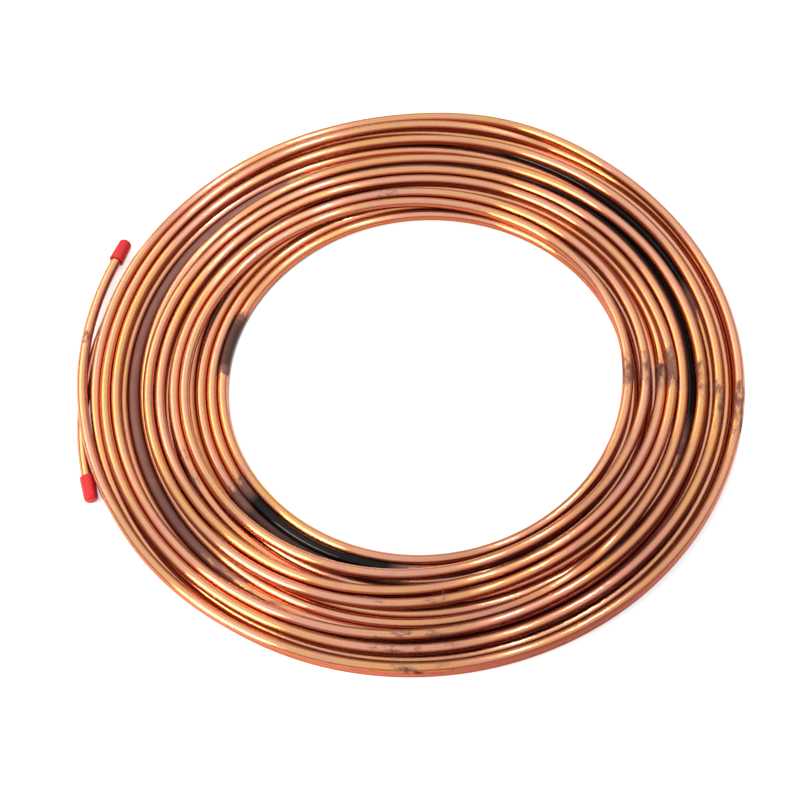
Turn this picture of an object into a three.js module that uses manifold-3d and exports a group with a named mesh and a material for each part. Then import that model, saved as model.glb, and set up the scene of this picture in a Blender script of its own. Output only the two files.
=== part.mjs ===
// Copper tube coil: soft copper tube wound flat in two nested layers of turns, tied by nothing,
// with both ends of the tube left free beside the outermost turns and each end closed by a push-on cap.
// Millimetres, +Z up. The origin is on the winding's axis, on the surface that the coil lies on.
import * as THREE from "three";
import { mergeVertices } from "three/addons/utils/BufferGeometryUtils.js";
import Module from "manifold-3d";

// ---- Driving dimensions ----

// Tube
const TUBE_OD = 6.35;
const TUBE_WALL = 0.76;

// Winding
const COIL_BORE = 228;
const TURN_GAP = 2.67; // open width between two neighbouring turns of one layer
const TURNS = 17; // counted from the bore, every second turn lies on the two beside it
const TURN_BEDDING = 0.2; // how far two touching turns are drawn into each other
const END_BORE_DEPTH = 45; // how deep the tube's own bore is open at each end

// Push-on caps
const CAP_LENGTH = 16;
const CAP_MOUTH_WALL = 0.975; // the skirt's wall where the tube goes in, and where the dome starts
const CAP_DOME_WALL = 0.575;
const CAP_DOME_HEIGHT = 2.8;
const CAP_END_WALL = 1.3;
const CAP_CLEARANCE = 0.35; // between the tube and the cap, round it and at its end
const CAP_LIP_BEVEL = 0.5;

// Free ends: how each one leaves its turn. A row is the azimuth in degrees, how far the tube's
// middle stands outside the middle of that turn, and how far it is lifted above it, both in
// tube diameters, because an end is held off by the tube that it crosses.
const UPPER_END_ROUTE = [
  [216, -0.03, -0.02],
  [207, 0.15, 0.08],
  [198, 0.5, 0.25],
  [189, 0.84, 0.36],
  [180, 1.1, 0.4],
  [170, 1.34, 0.3],
  [160, 1.8, -0.05],
  [151.5, 2.27, -0.28],
];
const LOWER_END_ROUTE = [
  [150, -0.03, 0.02],
  [160, 0.03, 0.02],
  [168, 0.2, 0.02],
  [177, 0.46, 0.02],
  [186, 0.7, 0.06],
  [195.5, 1.27, 0.22],
];

// Facets
const WINDING_SEGMENTS = 48; // round the coil, a multiple of four
const FREE_END_SIDES = 12;
const FREE_END_STEPS = 24;
const BORE_SIDES = 10;
const BORE_STEPS = 6;
const CAP_SEGMENTS = 20;
const CAP_DOME_STEPS = 4;

// ---- What follows from them ----

const TUBE_RADIUS = TUBE_OD / 2;
const TUBE_BORE_RADIUS = TUBE_RADIUS - TUBE_WALL;

// Radial step from one turn to the next, and how high the upper layer lies above the lower one.
const TURN_STEP = (TUBE_OD + TURN_GAP) / 2;
const LAYER_RISE = Math.sqrt((TUBE_OD - TURN_BEDDING) ** 2 - TURN_STEP ** 2);

// A turn's middle. Turn 0 bounds the bore and lies low.
const turnRadius = (turn) => COIL_BORE / 2 + TUBE_RADIUS + turn * TURN_STEP;
const isUpper = (turn) => turn % 2 === 1;
const turnHeight = (turn) => TUBE_RADIUS + (isUpper(turn) ? LAYER_RISE : 0);

const LAST_TURN = TURNS - 1;
const OUTER_UPPER_TURN = isUpper(LAST_TURN) ? LAST_TURN : LAST_TURN - 1;
const OUTER_LOWER_TURN = isUpper(LAST_TURN) ? LAST_TURN - 1 : LAST_TURN;

const CAP_BORE_RADIUS = TUBE_RADIUS + CAP_CLEARANCE;
const CAP_INNER_DEPTH = CAP_LENGTH - CAP_END_WALL;
const TUBE_IN_CAP = CAP_INNER_DEPTH - CAP_CLEARANCE;

// ---- Materials ----

const copper = new THREE.MeshStandardMaterial({
  color: 0xe8a06a,
  roughness: 0.22,
  metalness: 1,
});
const redPlastic = new THREE.MeshStandardMaterial({
  color: 0xc8202a,
  roughness: 0.45,
  metalness: 0,
});

// ---- Joining and cutting closed meshes ----

const wasm = await Module();
wasm.setup();

function toSolid(geometry) {
  const bare = new THREE.BufferGeometry();
  bare.setAttribute("position", geometry.getAttribute("position"));
  if (geometry.index) bare.setIndex(geometry.index);
  const merged = mergeVertices(bare, 1e-4);
  const mesh = new wasm.Mesh({
    numProp: 3,
    vertProperties: merged.attributes.position.array,
    triVerts: new Uint32Array(merged.index.array),
  });
  return new wasm.Manifold(mesh);
}

function toGeometry(solid) {
  const mesh = solid.getMesh();
  const geometry = new THREE.BufferGeometry();
  geometry.setAttribute("position", new THREE.BufferAttribute(mesh.vertProperties, 3));
  geometry.setIndex(new THREE.BufferAttribute(mesh.triVerts, 1));
  geometry.computeVertexNormals();
  return geometry;
}

// ---- The winding ----

// Turns are octagons whose flats lie at the tube's diameter, with one flat down and one outwards.
const OCTAGON_CORNER = TUBE_RADIUS * Math.tan(Math.PI / 8);

// One side of the winding's section, from the bore outwards. On the upper side each upper turn
// stands up as a crown, and the lower turns close the grooves between crowns at their own top.
// The lower side is the same, upside down: there the lower turns are the crowns.
function windingSide(upperSide) {
  const points = [];
  const away = upperSide ? 1 : -1;
  const groove = upperSide ? TUBE_OD : LAYER_RISE;
  for (let turn = 0; turn < TURNS; turn++) {
    if (isUpper(turn) !== upperSide) continue;
    const middle = turnRadius(turn);
    const height = turnHeight(turn);
    const shoulder = height + away * OCTAGON_CORNER;
    const crown = height + away * TUBE_RADIUS;
    const isFirst = turn === 0;
    const isLast = turn === LAST_TURN;
    const footBefore = isFirst ? height - away * OCTAGON_CORNER : groove;
    const footAfter = isLast ? height - away * OCTAGON_CORNER : groove;
    points.push(
      new THREE.Vector2(middle - TUBE_RADIUS, footBefore),
      new THREE.Vector2(middle - TUBE_RADIUS, shoulder),
      new THREE.Vector2(middle - OCTAGON_CORNER, crown),
      new THREE.Vector2(middle + OCTAGON_CORNER, crown),
      new THREE.Vector2(middle + TUBE_RADIUS, shoulder),
      new THREE.Vector2(middle + TUBE_RADIUS, footAfter),
    );
  }
  return points;
}

// The whole section, closed: out along the lower side, round the outermost turn, back along the
// upper side, and round the innermost turn.
function windingProfile() {
  const innermost = turnRadius(0);
  const outermost = turnRadius(LAST_TURN);
  const section = [
    ...windingSide(false),
    new THREE.Vector2(outermost + OCTAGON_CORNER, isUpper(LAST_TURN) ? LAYER_RISE : TUBE_OD),
    ...windingSide(true).reverse(),
    new THREE.Vector2(innermost - OCTAGON_CORNER, TUBE_OD),
  ];
  return [...section, section[0]];
}

function makeWinding() {
  const ring = new THREE.LatheGeometry(windingProfile(), WINDING_SEGMENTS);
  ring.rotateX(Math.PI / 2);
  return toSolid(ring);
}

// ---- The free ends ----

// The line that an end's middle follows, from inside its turn to the tube's cut face. The last
// stretch is straight, because a cap is pushed on it.
function freeEndPath(route, turn) {
  const points = route.map(([azimuth, standOff, lift]) => {
    const angle = THREE.MathUtils.degToRad(azimuth);
    const radius = turnRadius(turn) + standOff * TUBE_OD;
    return new THREE.Vector3(
      radius * Math.cos(angle),
      radius * Math.sin(angle),
      turnHeight(turn) + lift * TUBE_OD,
    );
  });
  const bend = new THREE.CatmullRomCurve3(points, false, "centripetal");
  const mouth = bend.getPoint(1);
  const heading = bend.getTangent(1);
  const cut = mouth.clone().addScaledVector(heading, TUBE_IN_CAP);
  const path = new THREE.CurvePath();
  path.add(bend);
  path.add(new THREE.LineCurve3(mouth, cut));
  return { path, mouth, heading, cut };
}

function polygonShape(radius, sides, turned) {
  const shape = new THREE.Shape();
  for (let i = 0; i < sides; i++) {
    const angle = ((i + turned) / sides) * 2 * Math.PI;
    const x = radius * Math.cos(angle);
    const y = radius * Math.sin(angle);
    if (i === 0) shape.moveTo(x, y);
    else shape.lineTo(x, y);
  }
  shape.closePath();
  return shape;
}

function sweep(radius, sides, path, steps) {
  const section = polygonShape(radius, sides, 0.25);
  return toSolid(new THREE.ExtrudeGeometry(section, { steps, extrudePath: path }));
}

// The tube's bore, from just outside the cut face to the depth that is left open.
function endBore(end) {
  const length = end.path.getLength();
  const deepest = 1 - END_BORE_DEPTH / length;
  const points = [];
  for (let i = 0; i <= BORE_STEPS; i++) {
    points.push(end.path.getPointAt(deepest + ((1 - deepest) * i) / BORE_STEPS));
  }
  points.push(end.cut.clone().addScaledVector(end.heading, TUBE_WALL));
  const line = new THREE.CatmullRomCurve3(points, false, "centripetal");
  return sweep(TUBE_BORE_RADIUS, BORE_SIDES, line, BORE_STEPS + 1);
}

function makeFreeEnd(end) {
  return sweep(TUBE_RADIUS, FREE_END_SIDES, end.path, FREE_END_STEPS);
}

// ---- The caps ----

// A cup with a slightly tapered skirt and a low domed end. Its axis is +Y here, with the mouth at 0.
function capProfile() {
  const mouthRadius = CAP_BORE_RADIUS + CAP_MOUTH_WALL;
  const domeRadius = CAP_BORE_RADIUS + CAP_DOME_WALL;
  const domeFoot = CAP_LENGTH - CAP_DOME_HEIGHT;
  const points = [
    new THREE.Vector2(0, CAP_INNER_DEPTH),
    new THREE.Vector2(CAP_BORE_RADIUS, CAP_INNER_DEPTH),
    new THREE.Vector2(CAP_BORE_RADIUS, 0),
    new THREE.Vector2(mouthRadius - CAP_LIP_BEVEL, 0),
    new THREE.Vector2(mouthRadius, CAP_LIP_BEVEL),
  ];
  for (let i = 0; i <= CAP_DOME_STEPS; i++) {
    const angle = (i / CAP_DOME_STEPS) * (Math.PI / 2);
    const radius = i === CAP_DOME_STEPS ? 0 : domeRadius * Math.cos(angle);
    points.push(new THREE.Vector2(radius, domeFoot + CAP_DOME_HEIGHT * Math.sin(angle)));
  }
  return points;
}

function makeCap(name, end) {
  const geometry = new THREE.LatheGeometry(capProfile(), CAP_SEGMENTS);
  const cap = new THREE.Mesh(geometry, redPlastic);
  cap.name = name;
  cap.position.copy(end.mouth);
  cap.quaternion.setFromUnitVectors(new THREE.Vector3(0, 1, 0), end.heading);
  return cap;
}

// ---- Assembly ----

const upperEnd = freeEndPath(UPPER_END_ROUTE, OUTER_UPPER_TURN);
const lowerEnd = freeEndPath(LOWER_END_ROUTE, OUTER_LOWER_TURN);

function makeTube() {
  const ends = [upperEnd, lowerEnd];
  let tube = makeWinding();
  for (const end of ends) tube = tube.add(makeFreeEnd(end));
  for (const end of ends) tube = tube.subtract(endBore(end));
  const mesh = new THREE.Mesh(toGeometry(tube), copper);
  mesh.name = "copper_tube";
  return mesh;
}

const coil = new THREE.Group();
coil.add(makeTube());
coil.add(makeCap("upper_end_cap", upperEnd));
coil.add(makeCap("lower_end_cap", lowerEnd));

export default coil;
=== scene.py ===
"""Looks of a coil of soft copper tube with two push-on plastic caps.

It is a Blender add-on that also runs as a script. The tube is one long sweep. Its course is worked
out ring by ring from how the coil is wound: the stretches of spiral in its two layers, the bore's
lean, two dents and the two free ends. The turns are then settled against each other, so that they
touch, and Geometry Nodes draw the tube along the settled course. Lengths are metres, except in the
course, which counts in tube diameters.
"""

import math

import bpy
import numpy as np
from bpy.props import FloatProperty, FloatVectorProperty, IntProperty, PointerProperty
from mathutils import Matrix, Vector


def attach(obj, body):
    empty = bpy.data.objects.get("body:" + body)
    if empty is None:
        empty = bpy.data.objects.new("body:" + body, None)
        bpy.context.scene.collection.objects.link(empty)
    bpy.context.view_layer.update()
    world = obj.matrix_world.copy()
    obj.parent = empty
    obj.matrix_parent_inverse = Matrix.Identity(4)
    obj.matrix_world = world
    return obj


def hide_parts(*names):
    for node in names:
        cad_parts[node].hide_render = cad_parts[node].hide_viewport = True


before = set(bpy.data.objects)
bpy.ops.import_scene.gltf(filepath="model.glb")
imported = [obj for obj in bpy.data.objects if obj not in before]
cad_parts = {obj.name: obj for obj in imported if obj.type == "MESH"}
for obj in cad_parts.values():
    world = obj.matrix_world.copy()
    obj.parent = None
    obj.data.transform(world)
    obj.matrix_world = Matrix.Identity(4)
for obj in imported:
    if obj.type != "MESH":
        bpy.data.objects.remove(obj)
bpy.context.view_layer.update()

bl_info = {
    "name": "Copper tube coil",
    "version": (1, 0, 0),
    "blender": (4, 5, 0),
    "location": "View3D > Sidebar > Coil",
    "description": "Winds a coil of copper tube, caps its ends and lights it",
    "category": "Object",
}


# ---- Sizes and colours ----


class TubeSettings(bpy.types.PropertyGroup):
    diameter: FloatProperty(
        name="Diameter",
        description="Outside diameter of the tube",
        default=0.00635,
        min=0.002,
        unit="LENGTH",
    )
    wall: FloatProperty(
        name="Wall",
        description="Thickness of the tube's wall",
        default=0.00076,
        min=0.0002,
        unit="LENGTH",
    )
    bore_depth: FloatProperty(
        name="Open depth",
        description="How deep the tube's bore is modelled at each end",
        default=0.012,
        min=0.001,
        unit="LENGTH",
    )
    sides: IntProperty(
        name="Sides",
        description="Facets round the tube",
        default=24,
        min=8,
    )
    colour: FloatVectorProperty(
        name="Copper",
        description="Colour of clean copper seen straight on",
        subtype="COLOR",
        size=3,
        default=(0.97, 0.47, 0.315),
    )
    # Colour of the tarnished patches, and of painted shade on the lower turns where they lie
    # between the upper ones.
    tarnish_and_shade: FloatVectorProperty(
        name="Tarnish and shade",
        description="Colour of the dull brown patches",
        subtype="COLOR",
        size=3,
        default=(0.33, 0.17, 0.15),
    )
    # Painted shade: this very dark colour is painted on stretches of the lower turns that lie deep
    # in shadow between the upper ones.
    shade_black: FloatVectorProperty(
        name="Black",
        description="Colour of the blackened copper",
        subtype="COLOR",
        size=3,
        default=(0.010, 0.009, 0.011),
    )


class CapSettings(bpy.types.PropertyGroup):
    length: FloatProperty(
        name="Length",
        description="Length of a cap from its mouth to the top of its dome",
        default=0.016,
        unit="LENGTH",
    )
    clearance: FloatProperty(
        name="Clearance",
        description="Space between the tube and the cap",
        default=0.00035,
        unit="LENGTH",
    )
    mouth_wall: FloatProperty(
        name="Wall at the mouth",
        description="Thickness of the cap's skirt at its mouth",
        default=0.000975,
        unit="LENGTH",
    )
    dome_wall: FloatProperty(
        name="Wall at the dome",
        description="Thickness of the cap's skirt where its dome starts",
        default=0.000575,
        unit="LENGTH",
    )
    dome_height: FloatProperty(
        name="Dome",
        description="Height of the cap's rounded end",
        default=0.0028,
        unit="LENGTH",
    )
    end_wall: FloatProperty(
        name="End wall",
        description="Thickness of the cap's closed end",
        default=0.0013,
        unit="LENGTH",
    )
    lip: FloatProperty(
        name="Lip",
        description="Radius of the rounded edge at the mouth",
        default=0.0004,
        unit="LENGTH",
    )
    sides: IntProperty(
        name="Sides",
        description="Facets round a cap",
        default=64,
        min=12,
    )
    colour: FloatVectorProperty(
        name="Plastic",
        description="Colour of the moulded plastic",
        subtype="COLOR",
        size=3,
        default=(0.66, 0.016, 0.028),
    )


class StudioSettings(bpy.types.PropertyGroup):
    aim: FloatVectorProperty(
        name="Aim",
        description="Point at the middle of the picture",
        size=3,
        default=(-0.00826, -0.01820, 0.00570),
        unit="LENGTH",
    )
    distance: FloatProperty(
        name="Distance",
        description="From the camera to the aim point",
        default=1.143,
        unit="LENGTH",
    )
    elevation: FloatProperty(
        name="Elevation",
        description="Angle at which the camera looks down",
        default=math.radians(58.74),
        unit="ROTATION",
    )
    roll: FloatProperty(
        name="Roll",
        description="Turn of the camera about its own axis",
        default=math.radians(-4.04),
        unit="ROTATION",
    )
    lens: FloatProperty(
        name="Lens",
        description="Focal length in millimetres on a 36 mm sensor",
        default=88.91,
    )
    floor_size: FloatProperty(
        name="Floor",
        description="Side of the floor",
        default=14.0,
        unit="LENGTH",
    )
    floor_colour: FloatVectorProperty(
        name="Floor colour",
        description="Colour of the floor",
        subtype="COLOR",
        size=3,
        default=(0.92, 0.92, 0.92),
    )


# ---- The course of the tube ----

# Turns are counted from this azimuth, where the upper free end leaves, counter-clockwise.
FIRST_AZIMUTH = 150
TURNS = 17
RING_ANGLE = 2  # degrees between two rings of the swept tube
RINGS_A_TURN = 360 // RING_ANGLE

# Layers: U lies on the turns below it, L lies on the floor, and l lies on the floor out of
# sight, so that it may be moved aside freely.
LAYER_HEIGHT = {"U": 1.4, "L": 0.5, "l": 0.5}
LAYER_FLOOR = {"U": 1.3, "L": 0.5, "l": 0.5}
LAYER_HOLD = {"U": 1.0, "L": 0.6, "l": 0.06}

# How the coil is wound, from the upper free end inwards and from the innermost turn back out
# to the lower one: at how many turns a stretch begins, in which layer, and how far from the
# axis. The distance changes evenly along a stretch, which makes a spiral of it.
STRETCHES = (
    (0.0, "U", 29.9),
    (0.2, "U", 29.5),
    (0.55, "U", 29.8),
    (0.8, "U", 29.2),
    (1.02, "U", 29.1),
    (1.25, "L", 29.4),
    (1.58, "L", 29.8),
    (1.78, "L", 29.0),
    (2.0, "U", 28.3),
    (2.6, "U", 27.9),
    (3.2, "U", 27.2),
    (3.85, "U", 25.9),
    (4.1, "L", 25.2),
    (4.36, "L", 24.9),
    (4.55, "U", 24.7),
    (5.2, "U", 24.5),
    (5.6, "U", 23.4),
    (6.2, "U", 23.4),
    (6.35, "U", 22.7),
    (6.6, "l", 22.2),
    (9.4, "l", 19.0),
    (9.75, "L", 18.5),
    (10.08, "L", 19.05),
    (10.3, "L", 18.7),
    (10.6, "U", 19.8),
    (10.75, "U", 20.5),
    (11.2, "U", 21.4),
    (11.6, "U", 21.4),
    (12.08, "U", 22.2),
    (12.3, "l", 22.6),
    (13.0, "l", 22.5),
    (13.2, "L", 24.2),
    (13.36, "l", 24.3),
    (13.5, "l", 24.5),
    (13.9, "l", 25.0),
    (14.15, "l", 26.0),
    (14.34, "L", 25.9),
    (14.5, "L", 25.8),
    (14.62, "l", 25.9),
    (14.9, "l", 26.1),
    (15.15, "l", 27.1),
    (15.34, "L", 27.15),
    (15.5, "L", 27.05),
    (15.62, "l", 27.1),
    (15.9, "l", 27.1),
    (16.15, "L", 28.5),
    (16.36, "L", 28.4),
    (16.5, "L", 28.45),
    (16.65, "L", 28.7),
    (17.0, "L", 28.4),
)

# The bore is round but off the axis: its lower turns lean over to one side, the innermost most.
BORE_LEAN = 1.75
BORE_LEAN_AZIMUTH = 338
INNERMOST = 18.5
OUTERMOST = 29.5

# Where the upper turns are pressed in together: azimuth, how far round on each side, how deep.
DENTS = (
    (95, 105, 1.75),
    (290, 60, 0.9),
)
DENT_FADE = 3.5  # how far inside the outermost turn a dent has its full depth
ROUNDING = 40  # degrees over which the tube bends from one stretch to the next

# The free ends, as azimuth, distance from the axis and height. The upper one starts the tube at
# its cap's mouth and crosses over the lower one, which ends the tube at the other cap's mouth.
UPPER_END = (
    (152, 31.25, 0.86),
    (157, 30.88, 0.95),
    (164, 30.61, 1.15),
    (170, 30.38, 1.32),
    (175, 30.27, 1.45),
    (180, 30.18, 1.50),
    (184, 30.05, 1.50),
    (190, 29.85, 1.46),
    (196, 29.83, 1.42),
    (202, 29.72, 1.40),
)
LOWER_END = (
    (150, 28.80, 0.50),
    (158, 29.05, 0.50),
    (166, 29.50, 0.50),
    (172, 29.95, 0.50),
    (178, 30.30, 0.50),
    (184, 30.48, 0.53),
    (188, 30.60, 0.60),
    (197, 31.02, 0.73),
)

# Where the caps point, as a fall in height over one length along the tube.
UPPER_CAP_FALL = 0.06
LOWER_CAP_FALL = 0.03
UPPER_MOUTH_AHEAD = 0.27  # how far ahead of the tube's first ring the upper cap's mouth lies

# Settling, in rounds of pulling each turn to its own place and down, pushing apart those that
# are drawn into each other, and straightening.
ROUNDS = 400
CONTACT_PASSES = 3
PULL = 0.12  # share of the way back to its own place that a turn is drawn in a round
SINK = 0.012  # how far a turn comes down in a round
END_HOLD = 0.3  # share of the way back to its own height that a free end is drawn in a round
PUSH = 0.7  # share of an overlap that is pushed apart in a pass
LIFT_EASE = 1.5  # how much more easily a higher turn gives way
STIFFNESS = 0.3  # how strongly a ring is drawn between its neighbours in a pass
STIFF_PASSES = 2
CONTACT = 1.0  # least distance between the middles of two turns
TOP = 1.54  # greatest height of a turn's middle
WIDEST = 29.81  # greatest distance from the axis, outside the free ends
FAR = 1e3  # the gap to a turn that isn't there
TINY = 1e-9  # keeps a gap from being nought


def spline(xs, ys, x):
    """A natural cubic curve through the points, at x."""
    xs = np.asarray(xs, float)
    ys = np.asarray(ys, float)
    gaps = np.diff(xs)
    slopes = np.diff(ys) / gaps
    system = np.zeros((len(xs), len(xs)))
    right = np.zeros(len(xs))
    system[0, 0] = system[-1, -1] = 1.0
    for i in range(1, len(xs) - 1):
        system[i, i - 1 : i + 2] = gaps[i - 1], 2 * (gaps[i - 1] + gaps[i]), gaps[i]
        right[i] = 6 * (slopes[i] - slopes[i - 1])
    bend = np.linalg.solve(system, right)
    i = np.clip(np.searchsorted(xs, x) - 1, 0, len(gaps) - 1)
    gap = gaps[i]
    before = x - xs[i]
    after = xs[i + 1] - x
    curved = (bend[i] * after**3 + bend[i + 1] * before**3) / (6 * gap)
    start = (ys[i] / gap - bend[i] * gap / 6) * after
    end = (ys[i + 1] / gap - bend[i + 1] * gap / 6) * before
    return curved + start + end


class Course:
    """The tube's middle line, ring by ring, as azimuth in degrees, distance and height."""

    def __init__(self):
        whole = TURNS * 360
        last = whole + LOWER_END[-1][0]
        self.azimuth = np.arange(UPPER_END[0][0], last + 1, RING_ANGLE, dtype=float)
        self.cell = ((self.azimuth - FIRST_AZIMUTH) / RING_ANGLE).astype(int)
        spiral = self.along([distance for _, _, distance in STRETCHES])
        self.start_height = self.by_layer(LAYER_HEIGHT)
        self.least_height = self.by_layer(LAYER_FLOOR)
        self.hold = self.by_layer(LAYER_HOLD)
        self.aim = spiral + self.lean(spiral) - self.dents(spiral)
        self.is_end = np.zeros(len(self.azimuth), bool)
        self.lay_end(UPPER_END, 0)
        self.lay_end(LOWER_END, whole)

    def along(self, values):
        """One value for each stretch, spread evenly along the tube and rounded off."""
        turns = (self.azimuth - FIRST_AZIMUTH) / 360
        even = np.interp(turns, [turn for turn, _, _ in STRETCHES], values)
        reach = ROUNDING // RING_ANGLE
        window = np.hanning(reach + 2)[1:-1]
        padded = np.pad(even, (reach // 2, reach - 1 - reach // 2), "edge")
        return np.convolve(padded, window / window.sum(), "valid")

    def by_layer(self, values):
        return self.along([values[layer] for _, layer, _ in STRETCHES])

    def upperness(self):
        """0 on the floor and 1 in the upper layer."""
        rise = LAYER_HEIGHT["U"] - LAYER_HEIGHT["L"]
        return (self.start_height - LAYER_HEIGHT["L"]) / rise

    def lean(self, spiral):
        nearness = (OUTERMOST - spiral) / (OUTERMOST - INNERMOST)
        turned = np.cos(np.radians(self.azimuth - BORE_LEAN_AZIMUTH))
        return BORE_LEAN * turned * nearness * (1 - self.upperness())

    def dents(self, spiral):
        share = np.clip((OUTERMOST - spiral) / DENT_FADE, 0, 1) * self.upperness()
        depth = np.zeros(len(spiral))
        for azimuth, reach, deepest in DENTS:
            off = (self.azimuth - azimuth + 180) % 360 - 180
            near = np.clip(np.abs(off) / reach, 0, 1)
            depth += deepest * (1 + np.cos(np.pi * near)) / 2
        return share * depth

    def lay_end(self, rows, offset):
        azimuths = [row[0] + offset for row in rows]
        inside = (self.azimuth >= azimuths[0]) & (self.azimuth <= azimuths[-1])
        places = self.azimuth[inside]
        self.aim[inside] = spline(azimuths, [row[1] for row in rows], places)
        self.start_height[inside] = spline(azimuths, [row[2] for row in rows], places)
        self.least_height[inside] = LAYER_FLOOR["L"]
        self.hold[inside] = 1.0
        self.is_end |= inside

    def as_grid(self, values, absent):
        """The values as turns by azimuth, so that one column holds what lies side by side."""
        rows = self.cell[-1] // RINGS_A_TURN + 1
        flat = np.full(rows * RINGS_A_TURN, absent, float)
        flat[self.cell] = values
        return flat.reshape(rows, RINGS_A_TURN)

    def push_apart(self, distance, height):
        """One pass of contact: turns that are drawn into each other give way."""
        across = self.as_grid(distance, np.nan)
        up = self.as_grid(height, 0.0)
        across_gap = across[:, None] - across[None]
        up_gap = up[:, None] - up[None]
        reach = np.hypot(across_gap, up_gap) + TINY
        overlap = np.clip(CONTACT - np.nan_to_num(reach, nan=FAR), 0.0, None)
        same = np.arange(len(across))
        overlap[same, same] = 0.0
        # Of two turns the looser one gives way more, and so does the higher one.
        ease = np.exp(LIFT_EASE * self.as_grid(height, 0.0)) / self.as_grid(self.hold, 1.0)
        gives = ease[:, None] / (ease[:, None] + ease[None])
        step = PUSH * overlap * gives / reach
        move_across = np.nansum(step * across_gap, axis=1).reshape(-1)[self.cell]
        move_up = np.nansum(step * up_gap, axis=1).reshape(-1)[self.cell]
        return distance + move_across, height + move_up

    def settle(self):
        distance = self.aim.copy()
        height = self.start_height.copy()
        widest = np.where(self.is_end, np.inf, WIDEST)
        for done in range(ROUNDS):
            ease = 1 - done / ROUNDS  # the pull dies away, so that contact has the last word
            distance += ease * PULL * self.hold * (self.aim - distance)
            lift = END_HOLD * (self.start_height - height)
            height += np.where(self.is_end, lift, -ease * SINK)
            for _ in range(CONTACT_PASSES):
                distance, height = self.push_apart(distance, height)
                height = np.clip(height, self.least_height, TOP)
                distance = np.minimum(distance, widest)
            for _ in range(STIFF_PASSES):
                self.straighten(distance)
                self.straighten(height)
        return distance, height

    def straighten(self, values):
        """The tube's stiffness: each ring is drawn between its two neighbours."""
        values[1:-1] += STIFFNESS * (values[:-2] + values[2:] - 2 * values[1:-1])

    def points(self, diameter):
        distance, height = self.settle()
        angle = np.radians(self.azimuth)
        across = np.stack([np.cos(angle), np.sin(angle)]) * distance
        return np.stack([across[0], across[1], height], axis=1) * diameter


def straight_end(points, fall, length, steps):
    """Points that carry the line on straight from its first point, with the given fall."""
    heading = points[0] - points[1]
    heading[2] = 0.0
    heading /= np.linalg.norm(heading)
    heading[2] = -fall
    heading /= np.linalg.norm(heading)
    ahead = [points[0] + heading * length * i / steps for i in range(steps, 0, -1)]
    return np.array(ahead), heading


END_STEPS = 4  # rings of the straight stretch inside a cap


def tube_path(tube, cap):
    """The whole middle line, and each end's cap seat as (mouth, heading)."""
    points = Course().points(tube.diameter)
    inside = cap.length - cap.end_wall - cap.clearance
    ahead = UPPER_MOUTH_AHEAD * tube.diameter
    upper, upper_heading = straight_end(points, UPPER_CAP_FALL, inside + ahead, END_STEPS)
    lower, lower_heading = straight_end(points[::-1], LOWER_CAP_FALL, inside, END_STEPS)
    seats = {
        "upper_end_cap": (points[0] + upper_heading * ahead, upper_heading),
        "lower_end_cap": (points[-1], lower_heading),
    }
    return np.vstack([upper, points, lower[::-1]]), seats


# ---- Node helpers ----


def new_tree(name, kind, inputs, outputs):
    tree = bpy.data.node_groups.new(name, kind)
    for label, socket, default in inputs:
        item = tree.interface.new_socket(label, in_out="INPUT", socket_type=socket)
        if default is not None:
            item.default_value = default
    for label, socket in outputs:
        tree.interface.new_socket(label, in_out="OUTPUT", socket_type=socket)
    return tree


def add(tree, kind, inputs=None, **settings):
    """A node with its settings, and its sockets set to values or linked from other sockets."""
    node = tree.nodes.new(kind)
    for key, value in settings.items():
        setattr(node, key, value)
    for key, value in (inputs or {}).items():
        socket = node.inputs[key]
        if isinstance(value, bpy.types.NodeSocket):
            tree.links.new(value, socket)
        else:
            socket.default_value = value
    return node


def math_node(tree, operation, *values):
    inputs = dict(enumerate(values))
    return add(tree, "ShaderNodeMath", inputs, operation=operation).outputs[0]


def range_node(tree, value, low, high, to_low=0.0, to_high=1.0):
    inputs = {"Value": value, "From Min": low, "From Max": high}
    inputs.update({"To Min": to_low, "To Max": to_high})
    return add(tree, "ShaderNodeMapRange", inputs, clamp=True).outputs["Result"]


# The sockets of a Mix node that mixes colours, which share their names with others.
MIX_FACTOR = 0
MIX_FIRST = 6
MIX_SECOND = 7
MIX_RESULT = 2


def mix_colour(tree, factor, first, second, blend="MIX"):
    node = add(tree, "ShaderNodeMix", data_type="RGBA", blend_type=blend)
    for index, value in ((MIX_FACTOR, factor), (MIX_FIRST, first), (MIX_SECOND, second)):
        if isinstance(value, bpy.types.NodeSocket):
            tree.links.new(value, node.inputs[index])
        else:
            node.inputs[index].default_value = value
    return node.outputs[MIX_RESULT]


def rgba(colour):
    return (*colour, 1.0)


# ---- The tube's skin, by Geometry Nodes ----


def tube_tree():
    """Sweeps a ring along the path, closes both ends and sinks the bore into them."""
    tree = new_tree(
        "Tube along a path",
        "GeometryNodeTree",
        (
            ("Path", "NodeSocketGeometry", None),
            ("Radius", "NodeSocketFloat", None),
            ("Bore Radius", "NodeSocketFloat", None),
            ("Bore Depth", "NodeSocketFloat", None),
            ("Sides", "NodeSocketInt", None),
            ("Material", "NodeSocketMaterial", None),
        ),
        (("Tube", "NodeSocketGeometry"),),
    )
    tree.is_modifier = True
    given = add(tree, "NodeGroupInput").outputs
    skin = swept_skin(tree, given)
    bored = sink_bores(tree, given, skin)
    dressed = add(
        tree,
        "GeometryNodeSetMaterial",
        {"Geometry": bored, "Material": given["Material"]},
    )
    add(tree, "NodeGroupOutput", {"Tube": dressed.outputs["Geometry"]})
    return tree


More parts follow.
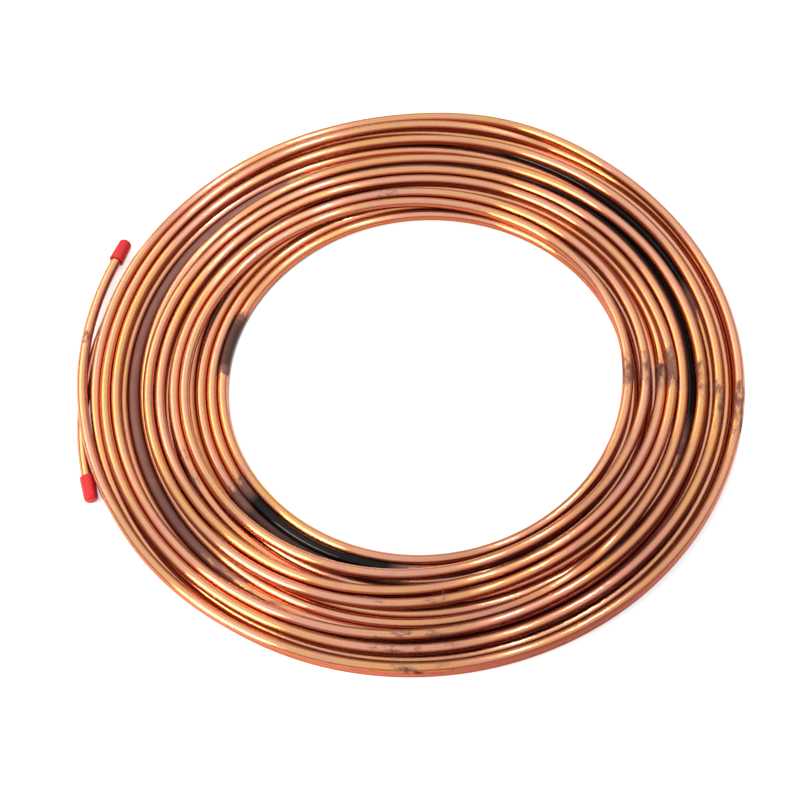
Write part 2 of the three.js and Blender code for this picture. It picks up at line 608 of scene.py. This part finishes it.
def swept_skin(tree, given):
    """The closed tube, with the attribute "skin": outwards, down and along from the middle."""
    line = add(tree, "GeometryNodeMeshToCurve", {"Mesh": given["Path"]}).outputs["Curve"]
    upright = add(tree, "GeometryNodeSetCurveNormal", {"Curve": line}, mode="Z_UP")
    parameter = add(tree, "GeometryNodeSplineParameter").outputs["Length"]
    along = add(tree, "GeometryNodeCaptureAttribute", {"Geometry": upright.outputs[0]})
    along.capture_items.new("FLOAT", "Along")
    tree.links.new(parameter, along.inputs["Along"])
    ring = add(
        tree,
        "GeometryNodeCurvePrimitiveCircle",
        {"Resolution": given["Sides"], "Radius": given["Radius"]},
    )
    place = add(tree, "GeometryNodeInputPosition").outputs[0]
    around = add(tree, "GeometryNodeCaptureAttribute", {"Geometry": ring.outputs["Curve"]})
    around.capture_items.new("VECTOR", "Around")
    tree.links.new(place, around.inputs["Around"])
    swept = add(
        tree,
        "GeometryNodeCurveToMesh",
        {
            "Curve": along.outputs["Geometry"],
            "Profile Curve": around.outputs["Geometry"],
            "Fill Caps": True,
        },
    )
    parts = add(tree, "ShaderNodeSeparateXYZ", {0: around.outputs["Around"]})
    skin = add(
        tree,
        "ShaderNodeCombineXYZ",
        {"X": parts.outputs["X"], "Y": parts.outputs["Y"], "Z": along.outputs["Along"]},
    )
    stored = add(
        tree,
        "GeometryNodeStoreNamedAttribute",
        {"Geometry": swept.outputs["Mesh"], "Name": "skin", "Value": skin.outputs[0]},
        data_type="FLOAT_VECTOR",
        domain="POINT",
    )
    return add(tree, "GeometryNodeSetShadeSmooth", {"Geometry": stored.outputs[0]}).outputs[0]


SKIN_CORNERS = 4  # a face of the skin has so many corners, and an end face has more


def sink_bores(tree, given, skin):
    """Cuts each end face down to the bore: a wall-wide rim, and a blind hole inside it."""
    corners = add(tree, "GeometryNodeInputMeshFaceNeighbors").outputs["Vertex Count"]
    is_end = add(tree, "FunctionNodeCompare", {2: corners, 3: SKIN_CORNERS}, data_type="INT")
    rim = add(
        tree,
        "GeometryNodeExtrudeMesh",
        {"Mesh": skin, "Selection": is_end.outputs[0], "Offset Scale": 0.0},
        mode="FACES",
    )
    share = math_node(tree, "DIVIDE", given["Bore Radius"], given["Radius"])
    mouth = add(
        tree,
        "GeometryNodeScaleElements",
        {"Geometry": rim.outputs["Mesh"], "Selection": rim.outputs["Top"], "Scale": share},
        domain="FACE",
    )
    inwards = math_node(tree, "MULTIPLY", given["Bore Depth"], -1.0)
    hole = add(
        tree,
        "GeometryNodeExtrudeMesh",
        {
            "Mesh": mouth.outputs["Geometry"],
            "Selection": rim.outputs["Top"],
            "Offset Scale": inwards,
        },
        mode="FACES",
    )
    return hole.outputs["Mesh"]


def set_inputs(modifier, tree, values):
    """Gives a modifier its inputs by their identifiers."""
    for item in tree.interface.items_tree:
        if item.in_out == "INPUT" and item.name in values:
            modifier[item.identifier] = values[item.name]


def baked(source, tree, values, name):
    """The modifier's result on a helper object, as a plain mesh object of its own."""
    modifier = source.modifiers.new("Nodes", "NODES")
    modifier.node_group = tree
    set_inputs(modifier, tree, values)
    bpy.context.view_layer.update()
    evaluated = source.evaluated_get(bpy.context.evaluated_depsgraph_get())
    mesh = bpy.data.meshes.new_from_object(evaluated)
    mesh.name = name
    made = bpy.data.objects.new(name, mesh)
    bpy.context.scene.collection.objects.link(made)
    source.modifiers.remove(modifier)
    bpy.data.objects.remove(source)
    if not mesh.polygons:
        raise RuntimeError(f"{name} has no faces")
    return made


# ---- Materials ----


def new_material(name):
    material = bpy.data.materials.new(name)
    material.use_nodes = True
    tree = material.node_tree
    return material, tree, tree.nodes["Principled BSDF"]


def noise(tree, vector, scale, detail, roughness):
    inputs = {"Vector": vector, "Scale": scale, "Detail": detail, "Roughness": roughness}
    return add(tree, "ShaderNodeTexNoise", inputs).outputs["Fac"]


# Patterns of the copper's surface, as how much the skin coordinate is stretched (outwards, down
# and along) and the noise's scale, detail and roughness.
DRAWN_LINES = ((1.0, 1.0, 0.012), 2600.0, 2.0, 0.6)
RIPPLES = ((0.25, 0.25, 1.0), 170.0, 2.0, 0.5)
BLOTCHES = ((1.0, 1.0, 0.35), 260.0, 5.0, 0.65)
GRAINS = ((1.0, 1.0, 1.0), 1500.0, 3.0, 0.6)
TINTS = ((4.0, 4.0, 1.0), 9.0, 2.0, 0.5)

# From and to which level of its pattern a mark grows from nothing to full.
DRIFT_RANGE = (0.38, 0.62)
SMUDGE_RANGE = (0.5, 0.72)
LINE_RANGE = (0.3, 0.7)
TARNISH_AND_SHADE_RANGE = (0.0, 0.16)

# Tarnished patches, and the painted shade on the lower turns, show where the blotches, made ragged
# by the grains, rise over a level, which falls as the patch strength grows.
RAGGED = 0.2
FULL_PATCH = 0.8
CLEAN_LEVEL = 1.0
FULL_PATCH_LEVEL = 0.25

ROUGHNESS_RANGE = (0.16, 0.2)
SMUDGE_ROUGHER = 0.08
TARNISH_AND_SHADE_ROUGHER = 0.25

# Bumps, as strength and height.
LINE_BUMP = (0.02, 0.00004)
RIPPLE_BUMP = (0.02, 0.00022)


def pattern(tree, skin, kind):
    factors, scale, detail, roughness = kind
    vector = add(tree, "ShaderNodeVectorMath", {0: skin, 1: factors}, operation="MULTIPLY")
    return noise(tree, vector.outputs[0], scale, detail, roughness)


def tarnish_and_shade_mask(tree, skin, patch, blotches):
    """1 on tarnished patches and painted shade, and 0 on clean copper."""
    ragged = math_node(tree, "MULTIPLY_ADD", pattern(tree, skin, GRAINS), RAGGED, blotches)
    level = range_node(tree, patch, 0.0, FULL_PATCH, CLEAN_LEVEL, FULL_PATCH_LEVEL)
    over = math_node(tree, "SUBTRACT", ragged, level)
    return range_node(tree, over, *TARNISH_AND_SHADE_RANGE)


def bumped(tree, height, bump, normal=None):
    strength, distance = bump
    inputs = {"Height": height, "Strength": strength, "Distance": distance}
    if normal is not None:
        inputs["Normal"] = normal
    return add(tree, "ShaderNodeBump", inputs).outputs["Normal"]


def drawn_surface_group():
    """Marks of drawing, handling and tarnishing on a tube, and painted shade on its lower turns,
    from its skin coordinate.
    """
    tree = new_tree(
        "Drawn tube surface",
        "ShaderNodeTree",
        (
            ("Skin", "NodeSocketVector", None),
            ("Patch", "NodeSocketFloat", 0.0),
        ),
        (
            ("Tarnish and shade", "NodeSocketFloat"),
            ("Smudge", "NodeSocketFloat"),
            ("Drift", "NodeSocketFloat"),
            ("Roughness", "NodeSocketFloat"),
            ("Normal", "NodeSocketVector"),
        ),
    )
    given = add(tree, "NodeGroupInput").outputs
    skin = given["Skin"]
    lines = pattern(tree, skin, DRAWN_LINES)
    blotches = pattern(tree, skin, BLOTCHES)
    smudge = range_node(tree, blotches, *SMUDGE_RANGE)
    tarnish_and_shade = tarnish_and_shade_mask(tree, skin, given["Patch"], blotches)
    base = range_node(tree, lines, *LINE_RANGE, *ROUGHNESS_RANGE)
    smudged = math_node(tree, "MULTIPLY_ADD", smudge, SMUDGE_ROUGHER, base)
    scored = bumped(tree, lines, LINE_BUMP)
    made = {
        "Tarnish and shade": tarnish_and_shade,
        "Smudge": smudge,
        "Drift": range_node(tree, pattern(tree, skin, TINTS), *DRIFT_RANGE),
        "Roughness": math_node(tree, "MULTIPLY_ADD", tarnish_and_shade, TARNISH_AND_SHADE_ROUGHER, smudged),
        "Normal": bumped(tree, pattern(tree, skin, RIPPLES), RIPPLE_BUMP, scored),
    }
    add(tree, "NodeGroupOutput", made)
    return tree


# Clean copper drifts between its own colour, a yellower one and, where it is smudged, a pinker one.
YELLOWER = (1.03, 1.06, 0.62)
PINKER = (0.97, 0.88, 1.05)

# Painted shade: the tube's flanks, where the turns lie against each other and shade falls, are
# painted darker than its crown: from and to these heights over its middle, in radii.
FLANK_TOP = 0.86
FLANK_FOOT = 0.3
FLANK_SHADE = (0.58, 0.21, 0.16)

# Painted shade: its underside is painted browner and darker still, from and to these heights.
UNDER_TOP = 0.25
UNDER_FOOT = -0.15
UNDER_SHADE = (0.45, 0.8, 0.9)

# On one side of the coil the tube is darker all over: fully up to this height, and less from there
# to its crown, which has this share of the darkening.
DARKENED_SIDE_TINT = (0.5, 0.34, 0.38)
DARKENED_SIDE_FOOT = 0.5
DARKENED_SIDE_CROWN = 0.45

# The lines from drawing run along the tube, so that what it mirrors is blurred across it.
DRAWN = 1.0
ACROSS = 0.25  # a quarter turn from the tube's own direction

# Stretches painted very dark as shade get a glossy coat.
SHADE_BLACK_GLOSS = 0.4
SHADE_BLACK_ROUGHNESS = 0.06


def tinted(colour, factors):
    return rgba([part * factor for part, factor in zip(colour, factors)])


def attribute(tree, name, output):
    return add(tree, "ShaderNodeAttribute", attribute_name=name).outputs[output]


def shaded(tree, colour, factor, shade):
    return mix_colour(tree, factor, colour, rgba(shade), "MULTIPLY")


def worn_and_shaded_colour(tree, tube, marks):
    """The copper's colour with its drift, its smudges, its tarnished patches and the painted shade
    of its lower turns.
    """
    yellower = tinted(tube.colour, YELLOWER)
    pinker = tinted(tube.colour, PINKER)
    drifting = mix_colour(tree, marks["Drift"], rgba(tube.colour), yellower)
    smudged = mix_colour(tree, marks["Smudge"], drifting, pinker)
    return mix_colour(tree, marks["Tarnish and shade"], smudged, rgba(tube.tarnish_and_shade))


def shade_by_height(tree, colour, skin, radius):
    """Paints shade on the tube's flanks and underside, and darkens one side of the coil as a whole.
    """
    down = add(tree, "ShaderNodeSeparateXYZ", {0: skin}).outputs["Y"]
    flank = range_node(tree, down, -FLANK_TOP * radius, -FLANK_FOOT * radius)
    under = range_node(tree, down, -UNDER_TOP * radius, -UNDER_FOOT * radius)
    low = range_node(tree, down, -radius, -DARKENED_SIDE_FOOT * radius, DARKENED_SIDE_CROWN, 1.0)
    darkened = math_node(tree, "MULTIPLY", attribute(tree, "darkened", "Fac"), low)
    # Painted shade on the flanks and the underside.
    flank_shaded = shaded(tree, colour, flank, FLANK_SHADE)
    under_shaded = shaded(tree, flank_shaded, under, UNDER_SHADE)
    # Darker on one side of the coil, as a whole.
    return shaded(tree, under_shaded, darkened, DARKENED_SIDE_TINT)


def draw_sheen(tree, surface):
    """Turns the blur of what the tube mirrors across the tube, which runs round the axis."""
    place = add(tree, "ShaderNodeTexCoord").outputs["Object"]
    upright = (0.0, 0.0, 1.0)
    inputs = {0: upright, 1: place}
    along = add(tree, "ShaderNodeVectorMath", inputs, operation="CROSS_PRODUCT")
    tree.links.new(along.outputs[0], surface.inputs["Tangent"])
    surface.inputs["Anisotropic"].default_value = DRAWN
    surface.inputs["Anisotropic Rotation"].default_value = ACROSS


def copper_material(tube):
    material, tree, surface = new_material("Copper")
    skin = attribute(tree, "skin", "Vector")
    patch = attribute(tree, "patch", "Fac")
    group = add(tree, "ShaderNodeGroup", node_tree=drawn_surface_group())
    tree.links.new(skin, group.inputs["Skin"])
    tree.links.new(patch, group.inputs["Patch"])
    marks = group.outputs
    copper = shade_by_height(tree, worn_and_shaded_colour(tree, tube, marks), skin, tube.diameter / 2)
    # Painted shade: from this patch strength on, the copper is painted very dark.
    painted_black = range_node(tree, patch, SHADE_BLACK_FROM, 1.0)
    colour = mix_colour(tree, painted_black, copper, rgba(tube.shade_black))
    gloss = math_node(tree, "MULTIPLY", painted_black, SHADE_BLACK_GLOSS)
    tree.links.new(colour, surface.inputs["Base Color"])
    tree.links.new(marks["Roughness"], surface.inputs["Roughness"])
    tree.links.new(marks["Normal"], surface.inputs["Normal"])
    tree.links.new(gloss, surface.inputs["Coat Weight"])
    surface.inputs["Coat Roughness"].default_value = SHADE_BLACK_ROUGHNESS
    surface.inputs["Metallic"].default_value = 1.0
    draw_sheen(tree, surface)
    return material


# The plastic's grain: the noise's scale, detail and roughness, its range and what it gives.
PLASTIC_GRAIN = (2200.0, 2.0, 0.5)
PLASTIC_RANGE = (0.3, 0.7)
PLASTIC_ROUGHNESS = (0.36, 0.44)
PLASTIC_BUMP = (0.15, 0.00005)


def plastic_material(cap):
    material, tree, surface = new_material("Red plastic")
    place = add(tree, "ShaderNodeTexCoord").outputs["Object"]
    grain = noise(tree, place, *PLASTIC_GRAIN)
    rough = range_node(tree, grain, *PLASTIC_RANGE, *PLASTIC_ROUGHNESS)
    tree.links.new(bumped(tree, grain, PLASTIC_BUMP), surface.inputs["Normal"])
    tree.links.new(rough, surface.inputs["Roughness"])
    surface.inputs["Base Color"].default_value = rgba(cap.colour)
    return material


FLOOR_ROUGHNESS = 0.9
FLOOR_SPECULAR = 0.1
FLOOR_GLOW = 0.55  # at most 1, which is white

# Painted shadow: the floor doesn't glow where the coil covers it: from this distance off the bore's
# middle to this one off the coil's axis, in tube diameters.
SHADED_FROM = 18.6
SHADED_TO = 29.7


def beyond(tree, place, middle, distance):
    """1 farther from the middle than the distance, 0 nearer."""
    offset = add(tree, "ShaderNodeVectorMath", {0: place, 1: middle}, operation="DISTANCE")
    return math_node(tree, "GREATER_THAN", offset.outputs["Value"], distance)


def floor_material(studio, diameter):
    """The floor, lifted to white for what sees it straight on or in a mirror, but left without glow
    under the coil as a painted shadow.
    """
    material, tree, surface = new_material("Floor")
    surface.inputs["Base Color"].default_value = rgba(studio.floor_colour)
    surface.inputs["Roughness"].default_value = FLOOR_ROUGHNESS
    surface.inputs["Specular IOR Level"].default_value = FLOOR_SPECULAR
    surface.inputs["Emission Color"].default_value = (1.0, 1.0, 1.0, 1.0)
    place = add(tree, "ShaderNodeTexCoord").outputs["Object"]
    lean = math.radians(BORE_LEAN_AZIMUTH)
    reach = BORE_LEAN * diameter
    bore = (math.cos(lean) * reach, math.sin(lean) * reach, 0.0)
    outside_bore = beyond(tree, place, bore, SHADED_FROM * diameter)
    outside_coil = beyond(tree, place, (0.0, 0.0, 0.0), SHADED_TO * diameter)
    inside_bore = math_node(tree, "SUBTRACT", 1.0, outside_bore)
    outside_painted_shadow = math_node(tree, "MAXIMUM", inside_bore, outside_coil)
    rays = add(tree, "ShaderNodeLightPath").outputs
    mirrored = math_node(tree, "MAXIMUM", rays["Is Glossy Ray"], rays["Is Transmission Ray"])
    seen = math_node(tree, "MAXIMUM", rays["Is Camera Ray"], mirrored)
    # Painted shadow: no glow under the coil.
    glow = math_node(tree, "MULTIPLY", seen, math_node(tree, "MULTIPLY", outside_painted_shadow, FLOOR_GLOW))
    tree.links.new(glow, surface.inputs["Emission Strength"])
    return material


# ---- Pieces ----


SHADE_BLACK_FROM = 0.8  # the patch strength from which the copper is painted very dark, as painted shade

# Marks of handling that lie side by side on several turns of the upper layer: azimuth, how far
# round on each side, the distances between which turns are marked, and how strongly.
MARKS = (
    (347, 9, 27.0, 30.5, 0.50),
    (353, 8, 25.5, 27.0, 0.46),
    (355, 9, 19.0, 24.0, 0.54),
    (267, 14, 22.8, 30.5, 0.42),
    (93, 6, 19.2, 20.4, 0.42),
    (203, 9, 21.8, 22.8, 0.42),
    (169, 3, 30.0, 31.5, 0.46),
)

# Painted shade: stretches of the lower turns that lie in the shadow between upper turns are painted
# dark: at how many turns, how far round on each side and how strongly. A strength over 1 makes the
# fully darkened part longer.
SHADE_STRETCHES = (
    (8.25, 36, 0.93),
    (9.25, 40, 1.0),
    (10.04, 16, 0.92),
    (13.64, 60, 1.2),
    (14.06, 92, 0.74),
    (15.7, 45, 1.1),
)


def faded(offset, reach):
    """1 over the nearer half of the reach, and falling to 0 at its end."""
    return np.clip(2 * (1 - np.abs(offset) / reach), 0, 1)


def tarnish_and_shade_along(points, diameter):
    """How tarnished, and how darkened by painted shade, the tube is at each point of its path, from
    0 to 1.
    """
    wound = np.degrees(np.unwrap(np.arctan2(points[:, 1], points[:, 0])))
    distance = np.hypot(points[:, 0], points[:, 1]) / diameter
    is_upper = points[:, 2] / diameter > (LAYER_HEIGHT["U"] + LAYER_HEIGHT["L"]) / 2
    tarnish_and_shade = np.zeros(len(points))
    for middle, reach, nearest, farthest, strength in MARKS:
        inside = is_upper & (distance > nearest) & (distance < farthest)
        near = faded((wound - middle + 180) % 360 - 180, reach)
        tarnish_and_shade = np.maximum(tarnish_and_shade, strength * near * inside)
    # Painted shade on the lower turns.
    for turns, reach, strength in SHADE_STRETCHES:
        near = faded(wound - FIRST_AZIMUTH - turns * 360, reach)
        tarnish_and_shade = np.maximum(tarnish_and_shade, strength * near)
    return np.clip(tarnish_and_shade, 0, 1)


# The side on which the coil is darker: its azimuth, and how far round each way.
DARKENED_SIDE_AZIMUTH = 298
DARKENED_SIDE_REACH = 50


def darkened_along(points):
    """How much darker the tube is at each point of its path, from 0 to 1."""
    azimuth = np.degrees(np.arctan2(points[:, 1], points[:, 0]))
    offset = np.abs((azimuth - DARKENED_SIDE_AZIMUTH + 180) % 360 - 180)
    return (1 + np.cos(np.pi * np.clip(offset / DARKENED_SIDE_REACH, 0, 1))) / 2


def path_object(points, diameter):
    mesh = bpy.data.meshes.new("Tube path")
    edges = [(i, i + 1) for i in range(len(points) - 1)]
    mesh.from_pydata([tuple(p) for p in points], edges, [])
    patch = mesh.attributes.new("patch", "FLOAT", "POINT")
    patch.data.foreach_set("value", tarnish_and_shade_along(points, diameter))
    darkened = mesh.attributes.new("darkened", "FLOAT", "POINT")
    darkened.data.foreach_set("value", darkened_along(points))
    made = bpy.data.objects.new("tube_path", mesh)
    bpy.context.scene.collection.objects.link(made)
    return made


def show(piece, node):
    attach(piece, "root")
    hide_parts(node)


class COIL_OT_wind_tube(bpy.types.Operator):
    """Settle the turns and draw the tube along them"""

    bl_idname = "coil.wind_tube"
    bl_label = "Wind tube"

    def execute(self, context):
        tube = context.scene.coil_tube
        points, _ = tube_path(tube, context.scene.coil_cap)
        values = {
            "Radius": tube.diameter / 2,
            "Bore Radius": tube.diameter / 2 - tube.wall,
            "Bore Depth": tube.bore_depth,
            "Sides": tube.sides,
            "Material": copper_material(tube),
        }
        piece = baked(path_object(points, tube.diameter), tube_tree(), values, "tube_winding")
        show(piece, "copper_tube")
        return {"FINISHED"}


LIP_STEPS = 8
DOME_STEPS = 12
DOME_FULLNESS = 0.75  # 1 is a plain ellipse, and less is fuller


def cap_profile(tube, cap):
    """A cap's section as (radius, height over its mouth), from inside its end to its top."""
    bore = tube.diameter / 2 + cap.clearance
    mouth = bore + cap.mouth_wall
    shoulder = bore + cap.dome_wall
    floor = cap.length - cap.end_wall
    foot = cap.length - cap.dome_height
    points = [(0.0, floor), (bore, floor), (bore, cap.lip)]
    middle = (bore + mouth) / 2
    half = (mouth - bore) / 2
    for i in range(1, LIP_STEPS):
        angle = math.pi * i / LIP_STEPS
        points.append((middle - half * math.cos(angle), cap.lip * (1 - math.sin(angle))))
    points.append((mouth, cap.lip))
    for i in range(DOME_STEPS + 1):
        angle = math.pi / 2 * i / DOME_STEPS
        reach = math.cos(angle) ** DOME_FULLNESS if i < DOME_STEPS else 0.0
        points.append((shoulder * reach, foot + cap.dome_height * math.sin(angle)))
    return points


def turned_mesh(name, profile, sides):
    """The profile turned about +Z, closed at both ends on the axis."""
    rings = profile[1:-1]
    vertices = [(0.0, 0.0, profile[0][1]), (0.0, 0.0, profile[-1][1])]
    for radius, height in rings:
        for i in range(sides):
            angle = 2 * math.pi * i / sides
            vertices.append((radius * math.cos(angle), radius * math.sin(angle), height))
    faces = []
    for i in range(sides):
        j = (i + 1) % sides
        faces.append((0, 2 + i, 2 + j))
        for ring in range(len(rings) - 1):
            low = 2 + ring * sides
            high = low + sides
            faces.append((low + j, low + i, high + i, high + j))
        last = 2 + (len(rings) - 1) * sides
        faces.append((1, last + j, last + i))
    mesh = bpy.data.meshes.new(name)
    mesh.from_pydata(vertices, [], faces)
    mesh.shade_smooth()
    return mesh


class COIL_OT_push_on_caps(bpy.types.Operator):
    """Turn the two plastic caps and seat them on the tube's ends"""

    bl_idname = "coil.push_on_caps"
    bl_label = "Push on caps"

    def execute(self, context):
        tube = context.scene.coil_tube
        cap = context.scene.coil_cap
        _, seats = tube_path(tube, cap)
        material = plastic_material(cap)
        profile = cap_profile(tube, cap)
        for node, (mouth, heading) in seats.items():
            name = node.replace("_end_cap", "_cap_shell")
            mesh = turned_mesh(name, profile, cap.sides)
            turn = Vector((0, 0, 1)).rotation_difference(Vector(heading)).to_matrix().to_4x4()
            mesh.transform(Matrix.Translation(Vector(mouth)) @ turn)
            mesh.materials.append(material)
            piece = bpy.data.objects.new(name, mesh)
            context.scene.collection.objects.link(piece)
            show(piece, node)
        return {"FINISHED"}


# ---- Studio ----

# Lamps as name, azimuth, elevation, distance, width, height, power in watts and colour. The
# windows give the long warm streaks, and the ceiling spots the short white glints.
LAMPS = (
    ("Left window", 212, 40, 1.3, 0.5, 0.3, 9.0, (1.0, 0.78, 0.50)),
    ("Far window", 140, 38, 1.3, 0.9, 0.4, 3.0, (1.0, 0.76, 0.46)),
    ("Ceiling spot", 63, 70, 1.5, 0.04, 0.04, 1.2, (1.0, 0.97, 0.93)),
    ("Second ceiling spot", 44, 80, 1.5, 0.04, 0.04, 1.2, (1.0, 0.97, 0.93)),
)


def on_sphere(azimuth, elevation, distance):
    a = math.radians(azimuth)
    e = math.radians(elevation)
    return Vector((math.cos(e) * math.cos(a), math.cos(e) * math.sin(a), math.sin(e))) * distance


def hang_lamp(name, azimuth, elevation, distance, width, height, power, colour):
    data = bpy.data.lights.new(name, "AREA")
    data.shape = "RECTANGLE"
    data.size = width
    data.size_y = height
    data.energy = power
    data.color = colour
    lamp = bpy.data.objects.new(name, data)
    bpy.context.scene.collection.objects.link(lamp)
    lamp.location = on_sphere(azimuth, elevation, distance)
    lamp.rotation_euler = lamp.location.to_track_quat("Z", "Y").to_euler()


SENSOR_WIDTH = 36.0  # millimetres


def place_camera(studio):
    level = math.cos(studio.elevation)
    steep = math.sin(studio.elevation)
    forward = Vector((0.0, level, -steep))
    right = Vector((1.0, 0.0, 0.0))
    up = Vector((0.0, steep, level))
    turn = studio.roll
    rolled_right = right * math.cos(turn) + up * math.sin(turn)
    rolled_up = up * math.cos(turn) - right * math.sin(turn)
    data = bpy.data.cameras.new("Camera")
    data.lens = studio.lens
    data.sensor_width = SENSOR_WIDTH
    camera = bpy.data.objects.new("Camera", data)
    bpy.context.scene.collection.objects.link(camera)
    basis = Matrix((rolled_right, rolled_up, -forward)).transposed().to_4x4()
    place = Vector(studio.aim) - forward * studio.distance
    camera.matrix_world = Matrix.Translation(place) @ basis
    bpy.context.scene.camera = camera


FLOOR_DROP = 0.0002  # how far below the tube's lowest points the floor lies


def lay_floor(studio):
    half = studio.floor_size / 2
    corners = [(-half, -half, 0.0), (half, -half, 0.0), (half, half, 0.0), (-half, half, 0.0)]
    mesh = bpy.data.meshes.new("Floor")
    mesh.from_pydata(corners, [], [(0, 1, 2, 3)])
    mesh.materials.append(floor_material(studio, bpy.context.scene.coil_tube.diameter))
    floor = bpy.data.objects.new("floor", mesh)
    bpy.context.scene.collection.objects.link(floor)
    floor.location.z = -FLOOR_DROP


# The room's brightness, as the height of the direction (1 is straight up) and the grey.
SKY = ((0.0, 0.17), (0.3, 0.22), (0.78, 0.94), (1.0, 0.74))


def light_sky():
    """A room that the tube mirrors: darker low down, lightest well above the floor."""
    world = bpy.data.worlds.new("Room")
    bpy.context.scene.world = world
    world.use_nodes = True
    tree = world.node_tree
    background = tree.nodes["Background"]
    direction = add(tree, "ShaderNodeTexCoord").outputs["Generated"]
    up = add(tree, "ShaderNodeSeparateXYZ", {0: direction}).outputs["Z"]
    ramp = add(tree, "ShaderNodeValToRGB", {"Fac": up})
    elements = ramp.color_ramp.elements
    elements.remove(elements[-1])
    for index, (height, grey) in enumerate(SKY):
        element = elements.new(height) if index else elements[0]
        element.color = (grey, grey, grey, 1.0)
    tree.links.new(ramp.outputs["Color"], background.inputs["Color"])
    background.inputs["Strength"].default_value = 1.0


class COIL_OT_set_studio(bpy.types.Operator):
    """Place the camera, the floor, the lamps and the room around the coil"""

    bl_idname = "coil.set_studio"
    bl_label = "Set studio"

    def execute(self, context):
        studio = context.scene.coil_studio
        place_camera(studio)
        lay_floor(studio)
        light_sky()
        for lamp in LAMPS:
            hang_lamp(*lamp)
        context.scene.view_settings.view_transform = "Standard"
        return {"FINISHED"}


class COIL_PT_panel(bpy.types.Panel):
    """The coil's sizes and its steps"""

    bl_idname = "COIL_PT_panel"
    bl_label = "Copper tube coil"
    bl_space_type = "VIEW_3D"
    bl_region_type = "UI"
    bl_category = "Coil"

    def draw(self, context):
        scene = context.scene
        for settings in (scene.coil_tube, scene.coil_cap, scene.coil_studio):
            for name in settings.__annotations__:
                self.layout.prop(settings, name)
        for operator in OPERATORS:
            self.layout.operator(operator.bl_idname)


OPERATORS = (COIL_OT_wind_tube, COIL_OT_push_on_caps, COIL_OT_set_studio)
CLASSES = (TubeSettings, CapSettings, StudioSettings, *OPERATORS, COIL_PT_panel)


def register():
    for cls in CLASSES:
        bpy.utils.register_class(cls)
    bpy.types.Scene.coil_tube = PointerProperty(type=TubeSettings)
    bpy.types.Scene.coil_cap = PointerProperty(type=CapSettings)
    bpy.types.Scene.coil_studio = PointerProperty(type=StudioSettings)


def unregister():
    del bpy.types.Scene.coil_studio
    del bpy.types.Scene.coil_cap
    del bpy.types.Scene.coil_tube
    for cls in reversed(CLASSES):
        bpy.utils.unregister_class(cls)


def main():
    register()
    bpy.ops.coil.wind_tube()
    bpy.ops.coil.push_on_caps()
    bpy.ops.coil.set_studio()


if __name__ == "__main__":
    main()
